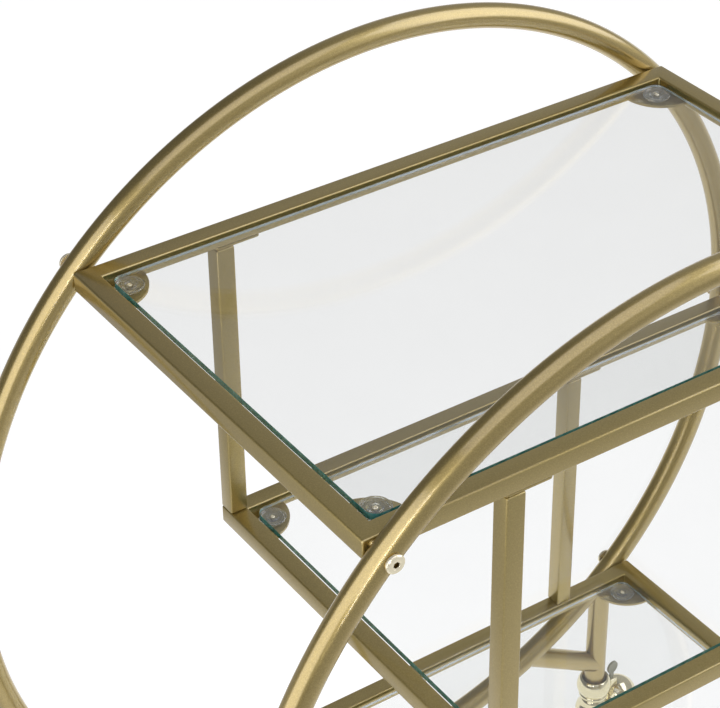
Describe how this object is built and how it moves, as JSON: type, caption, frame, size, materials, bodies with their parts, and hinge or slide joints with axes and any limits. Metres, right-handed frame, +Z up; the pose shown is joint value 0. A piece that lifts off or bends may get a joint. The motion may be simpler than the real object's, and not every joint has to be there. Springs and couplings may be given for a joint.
{
  "type": "bar cart",
  "caption": "Bar cart with two large upright tube rings, staggered glass trays in square-tube frames, and swivel casters with hooded wheels.",
  "frame": {"origin": "on the floor, under the middle of the two rings", "axes": "+X along the trays towards the side where the middle tray sticks out, -Y towards the front ring, +Z up"},
  "size_m": [0.7534, 0.4214, 0.8318],
  "materials": {
    "gold_tube": "satin antique gold powder coat with fine metallic flake",
    "gold_frame": "satin antique gold powder coat with fine metallic flake",
    "plated_gold": "bright pale gold plating",
    "bolt_gold": "bright pale gold plating, lightly brushed",
    "clear_glass": "clear tempered glass with green polished edges",
    "clear_pad": "clear soft plastic",
    "grey_tyre": "matt grey moulded tread",
    "steel": "turned steel",
    "lever_grey": "smooth grey-green lacquer"
  },
  "bodies": {
    "frame": {"ring_front": "gold_tube", "ring_back": "gold_tube", "leg_front_left": "gold_tube", "brace_front_left": "gold_tube", "leg_front_right": "gold_tube", "brace_front_right": "gold_tube", "leg_back_left": "gold_tube", "brace_back_left": "gold_tube", "leg_back_right": "gold_tube", "brace_back_right": "gold_tube", "tray_frame_top": "gold_frame", "glass_top": "clear_glass", "pad_top_front_left": "clear_pad", "pad_top_front_right": "clear_pad", "pad_top_back_left": "clear_pad", "pad_top_back_right": "clear_pad", "tray_frame_middle": "gold_frame", "glass_middle": "clear_glass", "pad_middle_front_left": "clear_pad", "pad_middle_front_right": "clear_pad", "pad_middle_back_left": "clear_pad", "pad_middle_back_right": "clear_pad", "tray_frame_lower": "gold_frame", "glass_lower": "clear_glass", "pad_lower_front_left": "clear_pad", "pad_lower_front_right": "clear_pad", "pad_lower_back_left": "clear_pad", "pad_lower_back_right": "clear_pad", "post_upper_front": "gold_frame", "post_lower_front": "gold_frame", "post_upper_back": "gold_frame", "post_lower_back": "gold_frame", "bolt_top_front_left": "bolt_gold", "bolt_top_front_right": "bolt_gold", "bolt_top_back_left": "bolt_gold", "bolt_top_back_right": "bolt_gold", "bolt_lower_front_left": "bolt_gold", "bolt_lower_front_right": "bolt_gold", "bolt_lower_back_left": "bolt_gold", "bolt_lower_back_right": "bolt_gold", "bolt_middle_front": "bolt_gold", "bolt_middle_back": "bolt_gold", "caster_socket_front_left": "plated_gold", "caster_socket_front_right": "plated_gold", "caster_socket_back_left": "plated_gold", "caster_socket_back_right": "plated_gold"},
    "hood_front_left": {"caster_hood_front_left": "plated_gold", "axle_front_left": "steel"},
    "wheel_front_left": {"wheel_front_left": "grey_tyre"},
    "hood_front_right": {"caster_hood_front_right": "plated_gold", "axle_front_right": "steel"},
    "wheel_front_right": {"wheel_front_right": "grey_tyre"},
    "brake_front_right": {"brake_lever_front_right": "lever_grey"},
    "hood_back_left": {"caster_hood_back_left": "plated_gold", "axle_back_left": "steel"},
    "wheel_back_left": {"wheel_back_left": "grey_tyre"},
    "hood_back_right": {"caster_hood_back_right": "plated_gold", "axle_back_right": "steel"},
    "wheel_back_right": {"wheel_back_right": "grey_tyre"},
    "brake_back_right": {"brake_lever_back_right": "lever_grey"}
  },
  "joints": [
    {"name": "swivel_front_left", "type": "hinge", "parent": "frame", "child": "hood_front_left", "pos_m": [-0.2462, -0.1912, 0.03], "axis": [0, 0, 1], "continuous": true},
    {"name": "roll_front_left", "type": "hinge", "parent": "hood_front_left", "child": "wheel_front_left", "pos_m": [-0.2762, -0.1912, 0.018], "axis": [0, 1, 0], "continuous": true},
    {"name": "swivel_front_right", "type": "hinge", "parent": "frame", "child": "hood_front_right", "pos_m": [0.2462, -0.1912, 0.03], "axis": [0, 0, 1], "continuous": true},
    {"name": "roll_front_right", "type": "hinge", "parent": "hood_front_right", "child": "wheel_front_right", "pos_m": [0.2762, -0.1912, 0.018], "axis": [0, 1, 0], "continuous": true},
    {"name": "brake_front_right", "type": "hinge", "parent": "hood_front_right", "child": "brake_front_right", "pos_m": [0.2679, -0.1912, 0.0408], "axis": [0, 1, 0], "range_deg": [0, 22]},
    {"name": "swivel_back_left", "type": "hinge", "parent": "frame", "child": "hood_back_left", "pos_m": [-0.2462, 0.1912, 0.03], "axis": [0, 0, 1], "continuous": true},
    {"name": "roll_back_left", "type": "hinge", "parent": "hood_back_left", "child": "wheel_back_left", "pos_m": [-0.2762, 0.1912, 0.018], "axis": [0, 1, 0], "continuous": true},
    {"name": "swivel_back_right", "type": "hinge", "parent": "frame", "child": "hood_back_right", "pos_m": [0.2462, 0.1912, 0.03], "axis": [0, 0, 1], "continuous": true},
    {"name": "roll_back_right", "type": "hinge", "parent": "hood_back_right", "child": "wheel_back_right", "pos_m": [0.2762, 0.1912, 0.018], "axis": [0, 1, 0], "continuous": true},
    {"name": "brake_back_right", "type": "hinge", "parent": "hood_back_right", "child": "brake_back_right", "pos_m": [0.2679, 0.1912, 0.0408], "axis": [0, 1, 0], "range_deg": [0, 22]}
  ]
}
